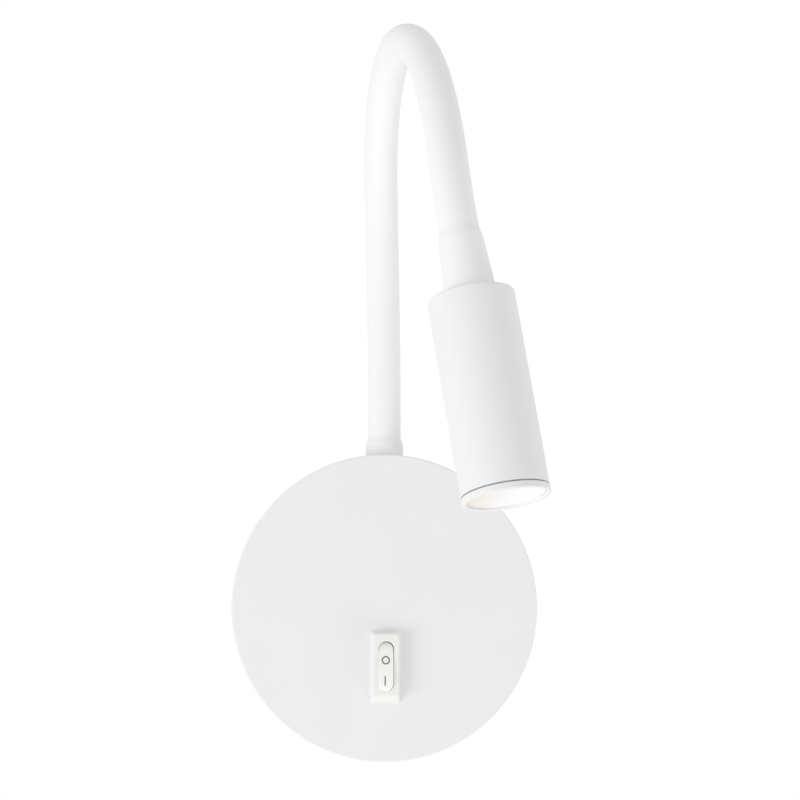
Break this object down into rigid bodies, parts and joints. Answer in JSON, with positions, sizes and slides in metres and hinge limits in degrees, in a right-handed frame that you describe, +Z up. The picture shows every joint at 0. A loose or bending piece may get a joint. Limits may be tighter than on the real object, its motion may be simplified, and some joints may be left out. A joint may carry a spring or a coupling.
{
  "type": "adjustable wall light",
  "caption": "White wall light: round canopy with a rocker switch on its face, a bendable sleeved neck rising from its rim and a slim cylindrical LED head.",
  "frame": {"origin": "On the wall plane, behind the centre of the round canopy, midway between the two wall screw slots", "axes": "+Z up the wall, +Y into the wall, so the light faces -Y; +X to the right as seen from the room"},
  "size_m": [0.12, 0.2139, 0.2703],
  "materials": {
    "white_paint": "white powder coat, fine even texture",
    "white_silicone": "smooth matt white silicone sleeve",
    "white_plastic": "satin moulded warm white plastic",
    "zinc_steel": "bright zinc plated steel",
    "neck_steel": "plain drawn steel",
    "black_steel": "black oxide steel",
    "black_rubber": "moulded black rubber",
    "driver_plastic": "moulded off-white case",
    "block_nylon": "natural nylon",
    "brass": "bright stamped brass",
    "bare_aluminium": "turned aluminium",
    "board_white": "white solder mask",
    "emitter_yellow": "silicone dome over yellow phosphor",
    "frosted_lens": "frosted opal acrylic",
    "live_insulation": "brown insulation",
    "switched_insulation": "grey insulation",
    "neutral_insulation": "blue insulation",
    "earth_insulation": "green and yellow insulation",
    "lead_jacket": "off-white jacket"
  },
  "bodies": {
    "base": {"canopy": "white_paint", "backplate": "zinc_steel", "cable_grommet": "black_rubber", "canopy_screws": "black_steel", "lower_ferrule": "white_paint", "lock_washer": "zinc_steel", "neck_nut": "zinc_steel", "driver_case": "driver_plastic", "driver_screws": "zinc_steel", "terminal_block": "block_nylon", "terminal_screws": "brass", "earth_tag": "zinc_steel", "earth_screw": "zinc_steel", "earth_wire": "earth_insulation", "live_wire": "live_insulation", "switched_wire": "switched_insulation", "neutral_wire": "neutral_insulation", "switch_housing": "white_plastic", "pivot_pin": "zinc_steel", "pivot_terminal": "brass", "load_terminal": "brass", "led_lead": "lead_jacket", "neck_core_01": "neck_steel", "neck_sleeve_01": "white_silicone"},
    "link_02": {"neck_core_02": "neck_steel", "neck_sleeve_02": "white_silicone"},
    "link_03": {"neck_core_03": "neck_steel", "neck_sleeve_03": "white_silicone"},
    "link_04": {"neck_core_04": "neck_steel", "neck_sleeve_04": "white_silicone"},
    "link_05": {"neck_core_05": "neck_steel", "neck_sleeve_05": "white_silicone"},
    "link_06": {"neck_core_06": "neck_steel", "neck_sleeve_06": "white_silicone"},
    "link_07": {"neck_core_07": "neck_steel", "neck_sleeve_07": "white_silicone"},
    "link_08": {"neck_core_08": "neck_steel", "neck_sleeve_08": "white_silicone"},
    "link_09": {"neck_core_09": "neck_steel", "neck_sleeve_09": "white_silicone"},
    "link_10": {"neck_core_10": "neck_steel", "neck_sleeve_10": "white_silicone"},
    "link_11": {"neck_core_11": "neck_steel", "neck_sleeve_11": "white_silicone"},
    "head": {"neck_core_12": "neck_steel", "neck_sleeve_12": "white_silicone", "upper_ferrule": "white_paint", "head_body": "white_paint", "head_nut": "zinc_steel", "heat_sink": "bare_aluminium", "led_board": "board_white", "led_emitter": "emitter_yellow", "led_screws": "zinc_steel", "lens": "frosted_lens", "front_ring": "white_paint"},
    "rocker": {"rocker": "white_plastic", "contact_plunger": "brass", "plunger_spring": "zinc_steel"},
    "contact_lever": {"contact_lever": "brass"}
  },
  "joints": [
    {"name": "neck_bend_01", "type": "hinge", "parent": "base", "child": "link_02", "pos_m": [-0.00023, -0.01342, 0.09399], "axis": [0.9998, -0.0003, 0.0174], "range_deg": [-4, 28], "deforming": ["neck_sleeve_01", "led_lead", "neck_sleeve_02"]},
    {"name": "neck_sway_01", "type": "hinge", "parent": "link_02", "child": "link_03", "pos_m": [-0.00091, -0.01534, 0.11991], "axis": [-0.0025, 0.9933, 0.1153], "range_deg": [-28, 28], "deforming": ["neck_sleeve_03"]},
    {"name": "neck_bend_02", "type": "hinge", "parent": "link_03", "child": "link_04", "pos_m": [-0.00203, -0.02051, 0.14533], "axis": [0.9986, -0.005, 0.0519], "range_deg": [-25, 30], "deforming": ["neck_sleeve_04"]},
    {"name": "neck_sway_02", "type": "hinge", "parent": "link_04", "child": "link_05", "pos_m": [-0.00353, -0.03114, 0.16892], "axis": [-0.0257, 0.8475, 0.5301], "range_deg": [-28, 28], "deforming": ["neck_sleeve_05"]},
    {"name": "neck_bend_03", "type": "hinge", "parent": "link_05", "child": "link_06", "pos_m": [-0.0046, -0.04845, 0.18811], "axis": [0.9991, 0.0111, 0.042], "range_deg": [-34, 30], "deforming": ["neck_sleeve_06"]},
    {"name": "neck_sway_03", "type": "hinge", "parent": "link_06", "child": "link_07", "pos_m": [-0.0044, -0.07131, 0.2002], "axis": [-0.0372, 0.3028, 0.9523], "range_deg": [-28, 28], "deforming": ["neck_sleeve_07"]},
    {"name": "neck_bend_04", "type": "hinge", "parent": "link_07", "child": "link_08", "pos_m": [-0.00297, -0.0969, 0.20372], "axis": [0.9969, 0.0761, 0.021], "range_deg": [-34, 30], "deforming": ["neck_sleeve_08"]},
    {"name": "neck_sway_04", "type": "hinge", "parent": "link_08", "child": "link_09", "pos_m": [-0.00049, -0.12214, 0.19857], "axis": [-0.0132, 0.3562, -0.9343], "range_deg": [-28, 28], "deforming": ["neck_sleeve_09"]},
    {"name": "neck_bend_05", "type": "hinge", "parent": "link_09", "child": "link_10", "pos_m": [0.00235, -0.14453, 0.18585], "axis": [0.9935, 0.11, 0.0279], "range_deg": [-31, 30], "deforming": ["neck_sleeve_10"]},
    {"name": "neck_sway_05", "type": "hinge", "parent": "link_10", "child": "link_11", "pos_m": [0.00485, -0.16245, 0.16728], "axis": [-0.0719, 0.8002, -0.5954], "range_deg": [-28, 28], "deforming": ["neck_sleeve_11"]},
    {"name": "neck_bend_06", "type": "hinge", "parent": "link_11", "child": "head", "pos_m": [0.0069, -0.17522, 0.1448], "axis": [0.9935, 0.11, 0.0279], "range_deg": [-20, 30], "deforming": ["neck_sleeve_12"]},
    {"name": "rocker_press", "type": "hinge", "parent": "base", "child": "rocker", "pos_m": [0, -0.0276, -0.023], "axis": [1, 0, 0], "range_deg": [0, 12]},
    {"name": "contact_rock", "type": "hinge", "parent": "base", "child": "contact_lever", "pos_m": [0, -0.01905, -0.023], "axis": [1, 0, 0], "range_deg": [-6, 0]}
  ],
  "couplings": [
    {"joint": "contact_rock", "follows": "rocker_press", "ratio": -0.5}
  ]
}
